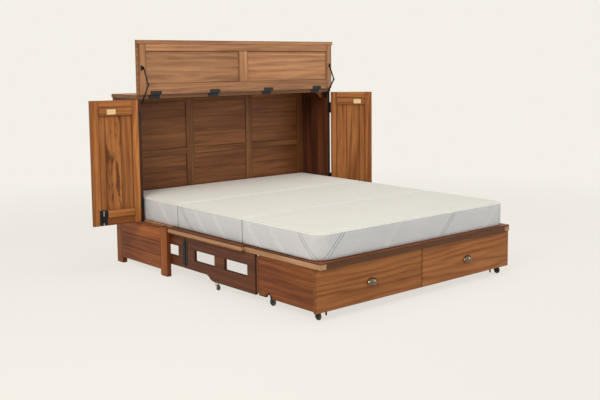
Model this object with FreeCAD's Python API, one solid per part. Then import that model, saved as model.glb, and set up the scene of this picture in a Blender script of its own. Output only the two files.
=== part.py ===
import FreeCAD, Part
import math
import os

# Cabinet bed, millimetres.  x = 0 is the middle, y = 0 the back (wall) plane, z = 0 the floor.
# The cabinet faces -Y.  The bed is drawn out and made up, the lid is up and both side wings
# stand open.
V = FreeCAD.Vector
X_AXIS = V(1, 0, 0)
Y_AXIS = V(0, 1, 0)
Z_AXIS = V(0, 0, 1)

# ---- cabinet ----
CABINET_W = 1626.0          # over the two sides
CABINET_D = 632.0           # wall to the front of the front posts
CABINET_H = 1130.0          # floor to the closed top
TOP_T = 24.0                # rear top and lid
TOP_OVERHANG = 7.0          # rear top and lid past each side
POST_X = 30.0               # corner posts, across
POST_Y = 76.0               # corner posts, front to back
POST_H = 312.0
SIDE_T = 25.0               # fixed upper sides
FIXED_D = 324.0             # fixed upper sides, front to back
BASE_PLANK_T = 18.0
BASE_PLANK_BOTTOM = 38.0
CAP_H = 12.0                # strip along the top of each base side
BACK_T = 20.0
BACK_SETBACK = 5.0          # back frame in from the wall plane
BACK_STILE = 58.0
BACK_RAIL = 46.0
BACK_STILE_LEFT = (-269.0, -209.0)
BACK_STILE_RIGHT = (244.0, 300.0)
BACK_RAIL_MIDDLE = (688.0, 734.0)
BASE_RAIL_T = 20.0          # rails across the back of the base
BASE_RAIL_LOW = (60.0, 130.0)
BASE_RAIL_HIGH = 212.0      # under edge of the upper one
BOARD_T = 8.0               # boards let into the back and the fixed sides
JOINT_GAP = 1.0             # open line between neighbouring boards
CHAMFER = 1.2               # eased long edges

# ---- folding deck ----
DECK_TOP = 318.0
DECK_SKIN = 8.0             # top boards
DECK_RIB = 22.0             # battens under the top boards
DECK_FACE = 6.0             # boards that show when the deck is up and closes the front
DECK_HINGE_OUT = 11.0       # deck hinge line, in front of the front posts
MID_DECK_L = 780.0          # hinge line to the far edge of the middle deck
DECK_MARGIN = 3.0           # middle deck in from each face of the cabinet
FOOT_OVERHANG = 38.0        # foot deck past the trolley
FOOT_DECK_W = 1572.0
HEAD_DECK_W = 1575.0
RIB_W = 44.0
HEAD_RIB_REACH = 520.0      # outermost inner ribs of the head deck
SEAT = 0.5                  # deck over the frames that carry it
LEDGER_H = 20.0

# ---- hinges: knuckles turn on a pin, each leaf lies on its board ----
LEAF_T = 1.6
LEAF_GAP = 0.4              # leaf face to the plane of the pin
KNUCKLE_R = 3.5
PIN_R = 1.8
FIT = 0.05                  # radial play of pins, rods and axles
END_PLAY = 0.3              # between neighbouring knuckles
RELIEF = 0.4                # board cut back round the knuckles
WOOD_OFF = LEAF_T + LEAF_GAP
KNUCKLE_OFF = KNUCKLE_R + 0.3
DECK_LEAF_L = 90.0
DECK_LEAF_W = 28.0
DECK_HINGE_REACH = 620.0    # outermost deck hinges

# ---- lid ----
LID_L = 352.0               # hinge line to the front edge
LID_BOARD_T = 10.0
LID_PANEL_T = 6.0
LID_LIP = 25.0              # board past the frame, front and ends
LID_STILE = 45.0
LID_RAIL_TOP = 45.0
LID_RAIL_HINGE = 70.0
LID_MULLION = 72.0
LID_HINGE_X = (-691.0, -239.0, 214.0, 663.0)
LID_LEAF_W = 80.0
LID_LEAF_FOOT = 25.0

# ---- lid stays ----
STAY_W = 12.0
STAY_T = 2.0
STAY_PIN_R = 3.0
STAY_LID_OUT = 8.5          # pin on the lid, in front of the open lid's inner face
STAY_LID_UP = 175.0         # and over the cabinet's top
STAY_ELBOW_OUT = 86.0       # elbow, in front of the fixed sides
STAY_ELBOW_UP = 70.0
STAY_SIDE_BACK = 6.0        # pin on the fixed side, behind its front edge
STAY_SIDE_DOWN = 54.0       # and under the cabinet's top
STAY_RING_R = 9.0
STAY_IN = 7.0               # near face of the upper link, in from the fixed side
STAY_PLAY = 1.5             # between the two links

# ---- wings ----
WING_T = 18.0
WING_W = 316.0
WING_BOTTOM = 316.0
WING_TOP = 1104.0
WING_STILE_HINGE = 44.0
WING_STILE_FREE = 53.0
WING_RAIL = 45.0
WING_BATTEN = 51.0
WING_BOARD_T = 10.0
WING_BOARD_SPLITS = (122.0, 222.0)
BATTEN_PROUD = 6.0
WING_OPEN_LEFT = 96.8       # degrees from closed
WING_OPEN_RIGHT = 55.1
WING_PIN_OUT = 4.0          # pin outside the cabinet side
WING_HINGE_Z = (445.0, 986.0)
WING_LEAF_H = 80.0
PLATE_LEFT = 154.0          # brass plate, from the hinge side
PLATE_RIGHT = 176.0
PLATE_W = 56.0
PLATE_H = 32.0
BOLT_AT = 250.0             # bolt rod, from the hinge side
BOLT_R = 3.5
BOLT_TRAVEL = 18.0
BOLT_PLATE_W = 50.0
BOLT_PLATE_H = 96.0
BOLT_OFF = 6.0              # rod axis off the wing's inside face

# ---- folding side frames ----
FRAME_T = 18.0
FRAME_OUT = 781.0           # outer face of the frames and of the trolley
FRAME_PIN_Y = 73.0          # first pin, from the wall
FRAME_L = 722.5             # pin to pin
FRAME_BOTTOM = 78.0
FRAME_FOOT = 47.0           # lowered rail of the outer frames, over the caster
WINDOW_LOW = 139.0
WINDOW_HIGH = 206.0
A_STILES = ((0.0, 78.0), (317.0, 419.0), (FRAME_L - 78.5, FRAME_L))
B_STILES = ((0.0, 100.5), (314.5, 417.5), (FRAME_L - 80.0, FRAME_L))
SWEEP_FROM = 221.0          # the lowered rail's curve, from the middle pin
SWEEP_TO = 300.0
FRAME_LEAF_L = 150.0
FRAME_LEAF_W = 26.0
CASTER_AT = 324.5           # swivel, from the middle pin
SWIVEL_R = 4.0
SWIVEL_TRAIL = 12.0
CASTER_R = 17.0
CASTER_W = 13.0

# ---- trolley and drawers ----
TROLLEY_BOTTOM = 50.0
TROLLEY_L = 497.0
TROLLEY_SIDE_OUT = 27.0     # last hinge pin to the rear of the sides
TROLLEY_FLOOR = 62.0
TROLLEY_FLOOR_T = 10.0
TROLLEY_RAIL = 20.0
NOTCH_R = 30.0
REAR_AXLE = 83.0            # from the rear of the sides
FRONT_AXLE = 26.0           # from their front
WHEEL_R = 21.5
WHEEL_W = 16.0
WHEEL_X = 746.0
FRONT_W = 1600.0
FRONT_T = 20.0
FRONT_BOTTOM = 50.0
FRONT_TOP = 280.0
FRONT_GAP = 3.0
FRONT_REST = 0.3            # drawer fronts off the trolley's edge
BOX_L = 470.0
BOX_BOTTOM = 84.0
BOX_TOP = 230.0
BOX_WALL = 12.0
BOX_FLOOR = 6.0
BOX_SIDE_PLAY = 11.0        # box to the trolley's side
BOX_INNER = 20.0            # box to the middle of the trolley
RUNNER_W = 22.0
RUNNER_PLAY = 0.3
PULL_X = 400.0
PULL_Z = 152.0
PULL_W = 75.0
PULL_H = 52.0
PULL_END_R = 18.0           # rounding of the oval's ends
PULL_WALL = 2.5
PULL_TIP = 0.1              # angle at which the cup's ends stop short of its axis
PULL_SWEEP = 115.0          # degrees of cup, from the top round to the finger mouth

# ---- mattress ----
MATTRESS_W = 1550.0
MATTRESS_T = 154.0
MATTRESS_FROM = 28.0
SECTION_L = 677.0
SECTION_GAP = 0.6
CROWN = 7.0
DRAWN_IN = 9.0
SOFT_GAP = 0.3

# ---- worked out ----
HALF = CABINET_W / 2
SIDE_IN = HALF - SIDE_T
PLANK_IN = HALF - BASE_PLANK_T
POST_IN = HALF - POST_X
TOP_UNDER = CABINET_H - TOP_T
TOP_HALF = HALF + TOP_OVERHANG
DECK_T = DECK_SKIN + DECK_RIB + DECK_FACE
DECK_UNDER = DECK_TOP - DECK_T
SKIN_UNDER = DECK_TOP - DECK_SKIN
FACE_TOP = DECK_UNDER + DECK_FACE
CARRIER_TOP = DECK_UNDER - SEAT
FRAME_IN = FRAME_OUT - FRAME_T
PIN_IN = FRAME_IN - WOOD_OFF
PIN_OUT = FRAME_OUT + WOOD_OFF
MIDDLE_PIN_Y = FRAME_PIN_Y + FRAME_L
LAST_PIN_Y = MIDDLE_PIN_Y + FRAME_L
TROLLEY_SIDE_FROM = LAST_PIN_Y + TROLLEY_SIDE_OUT
TROLLEY_END = TROLLEY_SIDE_FROM + TROLLEY_L
REAR_AXLE_Y = TROLLEY_SIDE_FROM + REAR_AXLE
FRONT_AXLE_Y = TROLLEY_END - FRONT_AXLE
DECK_PIN_Y = CABINET_D + DECK_HINGE_OUT
DECK_PIN_Z = DECK_TOP + 0.5
HEAD_DECK_END = DECK_PIN_Y - WOOD_OFF
MID_DECK_W = CABINET_W - 2 * DECK_MARGIN
MID_DECK_START = DECK_PIN_Y + WOOD_OFF
MID_DECK_END = DECK_PIN_Y + MID_DECK_L
FOOT_DECK_END = TROLLEY_END + FOOT_OVERHANG
FOOT_PIN_Y = MID_DECK_END + WOOD_OFF
FOOT_DECK_START = FOOT_PIN_Y + WOOD_OFF
LID_PIN_Y = FIXED_D + WOOD_OFF
WING_PIN_X = HALF + WING_PIN_OUT
WING_PIN_Y = FIXED_D + WOOD_OFF
WING_IN = HALF - WING_T
LID_OUT_Y = LID_PIN_Y + TOP_T
LID_BASE_Z = CABINET_H + WOOD_OFF
LID_TIP_Z = CABINET_H + LID_L
STAY_LID = (-LID_OUT_Y - STAY_LID_OUT, CABINET_H + STAY_LID_UP)
STAY_ELBOW = (-FIXED_D - STAY_ELBOW_OUT, CABINET_H + STAY_ELBOW_UP)
STAY_SIDE = (STAY_SIDE_BACK - FIXED_D, CABINET_H - STAY_SIDE_DOWN)
UPPER_STAY_X = SIDE_IN - STAY_IN
LOWER_STAY_X = UPPER_STAY_X - STAY_T - STAY_PLAY


def box(x0, x1, y0, y1, z0, z1):
    """Plain block between two values on each axis, in either order."""
    low = V(min(x0, x1), min(y0, y1), min(z0, z1))
    return Part.makeBox(abs(x1 - x0), abs(y1 - y0), abs(z1 - z0), low)


def board(x0, x1, y0, y1, z0, z1):
    """Block with its four longest edges eased, as a planed board has."""
    solid = box(x0, x1, y0, y1, z0, z1)
    longest = max(edge.Length for edge in solid.Edges)
    edges = [edge for edge in solid.Edges if abs(edge.Length - longest) < 1e-6]
    ease = min(CHAMFER, 0.2 * min(abs(x1 - x0), abs(y1 - y0), abs(z1 - z0)))
    return solid.makeChamfer(ease, edges[:4])


def rod(start, direction, radius, length):
    return Part.makeCylinder(radius, length, start, direction)


def prism(points, depth_axis, depth):
    """Flat outline of points, pushed along an axis."""
    outline = Part.makePolygon(points + [points[0]])
    return Part.Face(outline).extrude(depth_axis * depth)


def mirrored(solids):
    return [solid.mirror(V(0, 0, 0), X_AXIS) for solid in solids]


def both(solids):
    return solids + mirrored(solids)


def turned(solids, x, y, angle):
    """Copies turned about an upright line."""
    copies = [solid.copy() for solid in solids]
    for copy in copies:
        copy.rotate(V(x, y, 0), Z_AXIS, angle)
    return copies


def placed(shape, at, out, inward):
    """Put a shape drawn with x = out, y = inward, z = along its pin."""
    along = out.cross(inward)
    matrix = FreeCAD.Matrix(out.x, inward.x, along.x, at.x,
                            out.y, inward.y, along.y, at.y,
                            out.z, inward.z, along.z, at.z,
                            0, 0, 0, 1)
    shape.Placement = FreeCAD.Placement(matrix)
    return shape


def hinge_leaf(at, out, inward, length, width, pinned, crank=0.0, foot=0.0):
    """One leaf of a butt hinge, centred on `at`, a point of its pin.

    The leaf lies on a board whose face is WOOD_OFF from the pin's plane, towards `inward`.
    A pinned leaf has the two end knuckles and the pin, the other has the middle knuckle.
    With a crank the leaf turns round the board's edge and lies on its next face.
    """
    third = length / 3
    clear = KNUCKLE_OFF
    reach = crank + LEAF_T if crank else width
    plate = box(clear, reach, LEAF_GAP, LEAF_GAP + LEAF_T, -length / 2, length / 2)
    if crank:
        plate = plate.fuse(box(crank, reach, LEAF_GAP, foot, -length / 2, length / 2))
    spans = [(-third / 2 + END_PLAY / 2, third / 2 - END_PLAY / 2)]
    if pinned:
        spans = [(-length / 2, -third / 2 - END_PLAY / 2), (third / 2 + END_PLAY / 2, length / 2)]
    pieces = []
    for low, high in spans:
        pieces.append(rod(V(0, 0, low), Z_AXIS, KNUCKLE_R, high - low))
        pieces.append(box(0, clear, LEAF_GAP, LEAF_GAP + LEAF_T, low, high))
    leaf = plate.fuse(pieces)
    if pinned:
        leaf = leaf.fuse(rod(V(0, 0, -length / 2), Z_AXIS, PIN_R, length))
    else:
        leaf = leaf.cut(rod(V(0, 0, -length), Z_AXIS, PIN_R + FIT, 2 * length))
    return placed(leaf.removeSplitter(), at, out, inward)


def knuckle_relief(y, z, xs, length):
    """Cutters along X that clear the knuckles of a row of hinges."""
    radius = KNUCKLE_R + RELIEF
    return [rod(V(x - length / 2 - RELIEF, y, z), X_AXIS, radius, length + 2 * RELIEF) for x in xs]


def relieve(solids, cutters):
    trimmed = []
    for solid in solids:
        near = [cutter for cutter in cutters if solid.BoundBox.intersect(cutter.BoundBox)]
        trimmed.append(solid.cut(near) if near else solid)
    return trimmed


def planks(first, last, count, make):
    """Boards side by side from first to last, each made by make(low, high)."""
    step = (last - first) / count
    gap = math.copysign(JOINT_GAP / 2, step)
    return [make(first + i * step + gap, first + (i + 1) * step - gap) for i in range(count)]


def spread(reach, count):
    return [-reach + 2 * reach * i / (count - 1) for i in range(count)]


DECK_HINGE_X = spread(DECK_HINGE_REACH, 3)


# ---------------------------------------------------------------- cabinet
def base_posts():
    """Four corner posts and the blocks behind the frames' first hinges."""
    front = board(-HALF, -POST_IN, -CABINET_D, POST_Y - CABINET_D, 0, POST_H)
    socket = rod(V(-WING_IN + BOLT_OFF, -WING_PIN_Y - BOLT_AT, POST_H - 2 * BOLT_TRAVEL), Z_AXIS,
                 BOLT_R + 1, 2 * BOLT_TRAVEL)
    rear = board(-HALF, -POST_IN, -POST_Y, 0, 0, POST_H)
    block_end = KNUCKLE_OFF - FRAME_PIN_Y
    block = board(-POST_IN, -FRAME_IN, block_end, block_end + 38, FRAME_BOTTOM, DECK_UNDER)
    return both([front.cut(socket), rear, block])


def base_sides():
    """Three long planks and a cap strip between the posts on each side."""
    rear = -POST_Y
    front = POST_Y - CABINET_D
    cap_under = POST_H - CAP_H
    rows = planks(BASE_PLANK_BOTTOM, cap_under, 3,
                  lambda low, high: board(-HALF, -PLANK_IN, front, rear, low, high))
    rows.append(board(-HALF, -PLANK_IN, front, rear, cap_under, POST_H))
    return both(rows)


def base_rails():
    """Two rails across the back of the base and a ledger on each side."""
    rear, front = -BACK_SETBACK, -BACK_SETBACK - BASE_RAIL_T
    low_rail = board(-POST_IN, POST_IN, front, rear, *BASE_RAIL_LOW)
    high_rail = board(-POST_IN, POST_IN, front, rear, BASE_RAIL_HIGH, DECK_UNDER)
    ledger = board(-PLANK_IN, -POST_IN, POST_Y - CABINET_D, -POST_Y, DECK_UNDER - LEDGER_H, DECK_UNDER)
    return [low_rail, high_rail] + both([ledger])


def head_deck():
    """Fixed deck: battens, cut in between the posts, under boards that run across."""
    half = HEAD_DECK_W / 2
    narrow = POST_IN - 0.5
    rear = -BACK_SETBACK
    solids = [board(-narrow, narrow, -POST_Y, rear, SKIN_UNDER, DECK_TOP)]
    solids += planks(-POST_Y, POST_Y - CABINET_D, 3,
                     lambda low, high: board(-half, half, low, high, SKIN_UNDER, DECK_TOP))
    solids.append(board(-narrow, narrow, -HEAD_DECK_END, POST_Y - CABINET_D, SKIN_UNDER, DECK_TOP))
    solids.append(board(-narrow, narrow, rear - 40, rear, DECK_UNDER, SKIN_UNDER))
    front = board(-narrow, narrow, -HEAD_DECK_END, -HEAD_DECK_END + 40, DECK_UNDER, SKIN_UNDER)
    solids.append(front)
    low = POST_Y - CABINET_D
    solids += both([board(-half, -half + 40, low, -POST_Y, DECK_UNDER, SKIN_UNDER)])
    for x in spread(HEAD_RIB_REACH, 4):
        solids.append(board(x - RIB_W / 2, x + RIB_W / 2, 40 - HEAD_DECK_END, rear - 40,
                            DECK_UNDER, SKIN_UNDER))
    return relieve(solids, knuckle_relief(-DECK_PIN_Y, DECK_PIN_Z, DECK_HINGE_X, DECK_LEAF_L))


def upper_sides():
    """Fixed side above the base: two stiles, two rails and three upright boards."""
    outer, inner = -HALF, -SIDE_IN
    low, high = POST_H, TOP_UNDER
    stile = 50.0
    middle = (outer + inner) / 2
    solids = [board(outer, inner, -stile, 0, low, high),
              board(outer, inner, -FIXED_D, stile - FIXED_D, low, high),
              board(outer, inner, stile - FIXED_D, -stile, low, low + 60),
              board(outer, inner, stile - FIXED_D, -stile, high - 60, high)]
    solids += planks(stile - FIXED_D, -stile, 3,
                     lambda a, b: board(middle - BOARD_T / 2, middle + BOARD_T / 2, a, b,
                                        low + 60, high - 60))
    return both(solids)


def back_stile_spans():
    edge = SIDE_IN
    return [(-edge, -edge + BACK_STILE), BACK_STILE_LEFT, BACK_STILE_RIGHT, (edge - BACK_STILE, edge)]


def back_rail_levels():
    return [(DECK_TOP, DECK_TOP + BACK_RAIL), BACK_RAIL_MIDDLE, (TOP_UNDER - BACK_RAIL, TOP_UNDER)]


def back_frame():
    """Stiles from deck to top with three rails between each pair."""
    rear, front = -BACK_SETBACK, -BACK_SETBACK - BACK_T
    spans = back_stile_spans()
    solids = [board(a, b, front, rear, DECK_TOP, TOP_UNDER) for a, b in spans]
    for (_, left), (right, _) in zip(spans, spans[1:]):
        for low, high in back_rail_levels():
            solids.append(board(left, right, front, rear, low, high))
    return solids


def back_boards():
    """Boards laid level in each opening of the back frame."""
    middle = -BACK_SETBACK - BACK_T / 2
    spans = back_stile_spans()
    levels = back_rail_levels()
    solids = []
    for (_, left), (right, _) in zip(spans, spans[1:]):
        for (_, low), (high, _) in zip(levels, levels[1:]):
            solids += planks(low, high, 3,
                             lambda a, b: board(left, right, middle - BOARD_T / 2,
                                                middle + BOARD_T / 2, a, b))
    return solids


def rear_top():
    """Fixed part of the top, with a three-cornered block under each end."""
    top = board(-TOP_HALF, TOP_HALF, -FIXED_D, 0, TOP_UNDER, CABINET_H)
    side = 46.0
    front = -FIXED_D + 60
    points = [V(-SIDE_IN, front, TOP_UNDER),
              V(-SIDE_IN + side, front, TOP_UNDER),
              V(-SIDE_IN, front, TOP_UNDER - side)]
    block = prism(points, Y_AXIS, 24.0)
    cutters = knuckle_relief(-LID_PIN_Y, CABINET_H, LID_HINGE_X, LID_LEAF_W)
    return relieve([top], cutters) + both([block])


def stay_bracket():
    """Plate on the fixed side with the pin that the lower stay turns on."""
    y, z = STAY_SIDE
    plate = box(-SIDE_IN, STAY_T - SIDE_IN, y - 5, y + 27, z - 16, z + 12)
    collar = rod(V(STAY_T - SIDE_IN, y, z), X_AXIS, 5.5, SIDE_IN - STAY_T - LOWER_STAY_X - STAY_T - 0.2)
    pin = rod(V(STAY_T - SIDE_IN, y, z), X_AXIS, STAY_PIN_R, SIDE_IN - STAY_T - LOWER_STAY_X + 1.2)
    head = rod(V(0.3 - LOWER_STAY_X, y, z), X_AXIS, 5.5, 1.2)
    return plate.fuse([collar, pin, head]).removeSplitter()


def keeper():
    """Plate on the front post with the hole that the wing's bolt drops into."""
    x = -WING_IN + BOLT_OFF
    y = -WING_PIN_Y - BOLT_AT
    plate = box(-POST_IN, -HALF + 4, y - 18, y + 18, POST_H, POST_H + 1.5)
    return plate.cut(rod(V(x, y, POST_H - 5), Z_AXIS, BOLT_R + 1, 12))


def cabinet_hardware():
    """Every fixed leaf, the stay brackets and the bolt keepers."""
    solids = []
    for x in LID_HINGE_X:
        solids.append(hinge_leaf(V(x, -LID_PIN_Y, CABINET_H), -Z_AXIS, Y_AXIS, LID_LEAF_W, 0, True,
                                 TOP_T, LID_LEAF_FOOT))
    solids += deck_leaves(DECK_PIN_Y, Y_AXIS, True)
    left = [stay_bracket(), keeper()]
    for z in WING_HINGE_Z:
        left.append(hinge_leaf(V(-WING_PIN_X, -WING_PIN_Y, z), X_AXIS, Y_AXIS, WING_LEAF_H, 26, True))
    left.append(frame_leaf(-PIN_IN, -FRAME_PIN_Y, Y_AXIS, -X_AXIS, True))
    return solids + both(left)


# ---------------------------------------------------------------- lid
def lid_board():
    """Outer face of the lid: one wide board past the frame on three sides."""
    solid = board(-TOP_HALF, TOP_HALF, -LID_PIN_Y - LID_BOARD_T, -LID_PIN_Y, LID_BASE_Z, LID_TIP_Z)
    lip = board(-TOP_HALF, TOP_HALF, -LID_OUT_Y, -LID_PIN_Y - LID_BOARD_T, LID_TIP_Z - LID_LIP, LID_TIP_Z)
    cutters = knuckle_relief(-LID_PIN_Y, CABINET_H, LID_HINGE_X, LID_LEAF_W)
    return relieve([solid], cutters) + [lip]


def lid_levels():
    return LID_BASE_Z + LID_RAIL_HINGE, LID_TIP_Z - LID_LIP - LID_RAIL_TOP


def lid_frame():
    """Stiles, rails and mullion on the inside of the lid."""
    front, rear = -LID_OUT_Y, -LID_PIN_Y - LID_BOARD_T
    half = TOP_HALF - 15
    low, high = lid_levels()
    top = LID_TIP_Z - LID_LIP
    inner = half - LID_STILE
    return [board(-half, -inner, front, rear, LID_BASE_Z, top),
            board(inner, half, front, rear, LID_BASE_Z, top),
            board(-inner, inner, front, rear, LID_BASE_Z, low),
            board(-inner, inner, front, rear, high, top),
            board(-LID_MULLION / 2, LID_MULLION / 2, front, rear, low, high)]


def lid_panels():
    """Two panels sunk between the members of the lid frame."""
    rear = -LID_PIN_Y - LID_BOARD_T
    low, high = lid_levels()
    inner = TOP_HALF - 15 - LID_STILE
    panel = board(-inner, -LID_MULLION / 2, rear - LID_PANEL_T, rear, low, high)
    return both([panel])


def lid_hinge_leaves():
    """Cranked leaves under the lid, and the ears that hold its stays."""
    solids = [hinge_leaf(V(x, -LID_PIN_Y, CABINET_H), -Y_AXIS, Z_AXIS, LID_LEAF_W, 0, False,
                         TOP_T, LID_LEAF_FOOT) for x in LID_HINGE_X]
    y, z = STAY_LID
    ear_x = UPPER_STAY_X + STAY_T + 1
    foot = box(-ear_x - 14, -ear_x, -LID_OUT_Y - STAY_T, -LID_OUT_Y, z - 15, z + 15)
    ear = box(-ear_x - STAY_T, -ear_x, y - 6, -LID_OUT_Y, z - 9, z + 9)
    pin = rod(V(-ear_x, y, z), X_AXIS, STAY_PIN_R, STAY_T + 3)
    head = rod(V(0.4 - UPPER_STAY_X, y, z), X_AXIS, 5.5, 1.2)
    return solids + both([foot.fuse([ear, pin, head]).removeSplitter()])


def stay_link(start, end, face, ring):
    """Flat link from one pin to the other, round at both ends, with a bored first eye."""
    (y0, z0), (y1, z1) = start, end
    x = -face - STAY_T
    length = math.hypot(y1 - y0, z1 - z0)
    side = V(0, -(z1 - z0) / length, (y1 - y0) / length) * (STAY_W / 2)
    a, b = V(x, y0, z0), V(x, y1, z1)
    bar = prism([a + side, b + side, b - side, a - side], X_AXIS, STAY_T)
    eyes = [rod(a, X_AXIS, STAY_W / 2 + 1.5, STAY_T), rod(b, X_AXIS, ring, STAY_T)]
    return bar.fuse(eyes).removeSplitter().cut(rod(a - X_AXIS, X_AXIS, STAY_PIN_R + FIT, STAY_T + 2))


def stay_upper():
    return [stay_link(STAY_LID, STAY_ELBOW, UPPER_STAY_X, STAY_W / 2)]


def stay_lower():
    """The lower link ends in the ring that is the finger hold of the elbow."""
    link = stay_link(STAY_SIDE, STAY_ELBOW, LOWER_STAY_X, STAY_RING_R)
    eye = V(-LOWER_STAY_X - STAY_T - 1, *STAY_ELBOW)
    return [link.cut(rod(eye, X_AXIS, STAY_RING_R - 3.5, STAY_T + 2))]


# ---------------------------------------------------------------- wings, drawn closed on the left
def wing_y(distance):
    """Place along the closed wing, from its hinge pin."""
    return -WING_PIN_Y - distance


def wing_frame():
    """Two stiles and two rails."""
    near, far = WOOD_OFF, WING_W
    a = near + WING_STILE_HINGE
    b = far - WING_STILE_FREE
    outer, inner = -HALF, -WING_IN
    low, high = WING_BOTTOM, WING_TOP
    return [board(outer, inner, wing_y(near), wing_y(a), low, high),
            board(outer, inner, wing_y(b), wing_y(far), low, high),
            board(outer, inner, wing_y(a), wing_y(b), low, low + WING_RAIL),
            board(outer, inner, wing_y(a), wing_y(b), high - WING_RAIL, high)]


def wing_boards():
    """Three upright boards let into the frame, and a batten across each end."""
    a = WOOD_OFF + WING_STILE_HINGE
    b = WING_W - WING_STILE_FREE
    low, high = WING_BOTTOM + WING_RAIL, WING_TOP - WING_RAIL
    outer = -HALF + 2
    face = outer + WING_BOARD_T
    edges = (a,) + WING_BOARD_SPLITS + (b,)
    solids = []
    for near, far in zip(edges, edges[1:]):
        solids.append(board(outer, face, wing_y(near + JOINT_GAP / 2), wing_y(far - JOINT_GAP / 2),
                            low, high))
    proud = -WING_IN + BATTEN_PROUD
    solids.append(board(face, proud, wing_y(a), wing_y(b), high - WING_BATTEN, high))
    solids.append(board(face, proud, wing_y(a), wing_y(WING_BOARD_SPLITS[1]), low, low + WING_BATTEN))
    return solids


def wing_plate(from_hinge):
    """Small brass plate on the upper batten, with two round-headed screws."""
    face = -WING_IN + BATTEN_PROUD
    low = WING_TOP - WING_RAIL - WING_BATTEN + 9
    plate = box(face, face + 1.2, wing_y(from_hinge), wing_y(from_hinge + PLATE_W), low, low + PLATE_H)
    for share in (0.2, 0.8):
        at = V(face, wing_y(from_hinge + share * PLATE_W), low + PLATE_H / 2)
        plate = plate.fuse(rod(at, X_AXIS, 2.6, 1.7))
    return [plate]


def wing_hardware():
    """The moving hinge leaves and the barrel and plate of the bolt."""
    solids = [hinge_leaf(V(-WING_PIN_X, -WING_PIN_Y, z), X_AXIS, -Y_AXIS, WING_LEAF_H, 20, False)
              for z in WING_HINGE_Z]
    face = -WING_IN
    y = wing_y(BOLT_AT)
    low = WING_BOTTOM + 3
    plate = box(face, face + 1.5, y - BOLT_PLATE_W / 2, y + BOLT_PLATE_W / 2, low, low + BOLT_PLATE_H)
    at = V(face + BOLT_OFF, y, low + 16)
    barrel = rod(at, Z_AXIS, BOLT_R + 1.5, 43)
    saddle = box(face, face + BOLT_OFF, y - 5, y + 5, low + 16, low + 59)
    bore = rod(V(at.x, y, low - 5), Z_AXIS, BOLT_R + FIT, BOLT_PLATE_H + 10)
    return solids + [plate.fuse([barrel, saddle]).removeSplitter().cut(bore)]


def bolt_rod():
    """Round bolt with its finger knob, drawn up."""
    x = -WING_IN + BOLT_OFF
    y = wing_y(BOLT_AT)
    shaft = rod(V(x, y, WING_BOTTOM + 2), Z_AXIS, BOLT_R, BOLT_PLATE_H - 2)
    knob = rod(V(x, y, WING_BOTTOM + 89), X_AXIS, 3.0, 10)
    return [shaft.fuse(knob)]


# ---------------------------------------------------------------- folding side frames
def frame_leaf(x, y, out, inward, pinned):
    middle = (WINDOW_HIGH + CARRIER_TOP) / 2 - 70
    return hinge_leaf(V(x, y, middle), out, inward, FRAME_LEAF_L, FRAME_LEAF_W, pinned)


def ladder(start, stiles):
    """Frame of three stiles and two rails; distances run from its own first pin."""
    outer, inner = -FRAME_OUT, -FRAME_IN
    last = len(stiles) - 1
    solids = []
    for i, (near, far) in enumerate(stiles):
        near = near + KNUCKLE_OFF if i == 0 else near
        far = FRAME_L - KNUCKLE_OFF if i == last else far
        solids.append(box(outer, inner, -start - near, -start - far, WINDOW_LOW, WINDOW_HIGH))
    near, far = -start - KNUCKLE_OFF, -start - FRAME_L + KNUCKLE_OFF
    solids.append(board(outer, inner, near, far, WINDOW_HIGH, CARRIER_TOP))
    return solids, near, far


def frame_a():
    solids, near, far = ladder(FRAME_PIN_Y, A_STILES)
    solids.append(board(-FRAME_OUT, -FRAME_IN, near, far, FRAME_BOTTOM, WINDOW_LOW))
    return solids


def frame_b():
    """The outer frame's lower rail sweeps down to carry the caster."""
    solids, near, far = ladder(MIDDLE_PIN_Y, B_STILES)
    x = -FRAME_OUT
    high = FRAME_BOTTOM
    low = FRAME_FOOT
    y0 = -MIDDLE_PIN_Y - SWEEP_FROM
    y1 = -MIDDLE_PIN_Y - SWEEP_TO
    middle = V(x, (y0 + y1) / 2, (high + low) / 2)
    bulge = (high - low) * 0.12
    upper = V(x, (3 * y0 + y1) / 4, (3 * high + low) / 4 + bulge)
    lower = V(x, (y0 + 3 * y1) / 4, (high + 3 * low) / 4 - bulge)
    corners = [V(x, far, low), V(x, far, WINDOW_LOW), V(x, near, WINDOW_LOW), V(x, near, high)]
    edges = [Part.Arc(V(x, y0, high), upper, middle).toShape(),
             Part.Arc(middle, lower, V(x, y1, low)).toShape(),
             Part.makeLine(V(x, y1, low), corners[0])]
    for a, b in zip(corners, corners[1:] + [V(x, y0, high)]):
        edges.append(Part.makeLine(a, b))
    rail = Part.Face(Part.Wire(Part.__sortEdges__(edges))).extrude(X_AXIS * FRAME_T)
    stem = rod(V(-caster_x(), -caster_y(), low - 1), Z_AXIS, SWIVEL_R + FIT, 25)
    solids.append(rail.cut(stem))
    return solids


def frame_a_leaves():
    return [frame_leaf(-PIN_IN, -FRAME_PIN_Y, -Y_AXIS, -X_AXIS, False),
            frame_leaf(-PIN_OUT, -MIDDLE_PIN_Y, Y_AXIS, X_AXIS, True)]


def frame_b_leaves():
    return [frame_leaf(-PIN_OUT, -MIDDLE_PIN_Y, -Y_AXIS, X_AXIS, False),
            frame_leaf(-PIN_IN, -LAST_PIN_Y, Y_AXIS, -X_AXIS, False)]


def caster_x():
    return FRAME_OUT - FRAME_T / 2


def caster_y():
    return MIDDLE_PIN_Y + CASTER_AT


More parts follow.
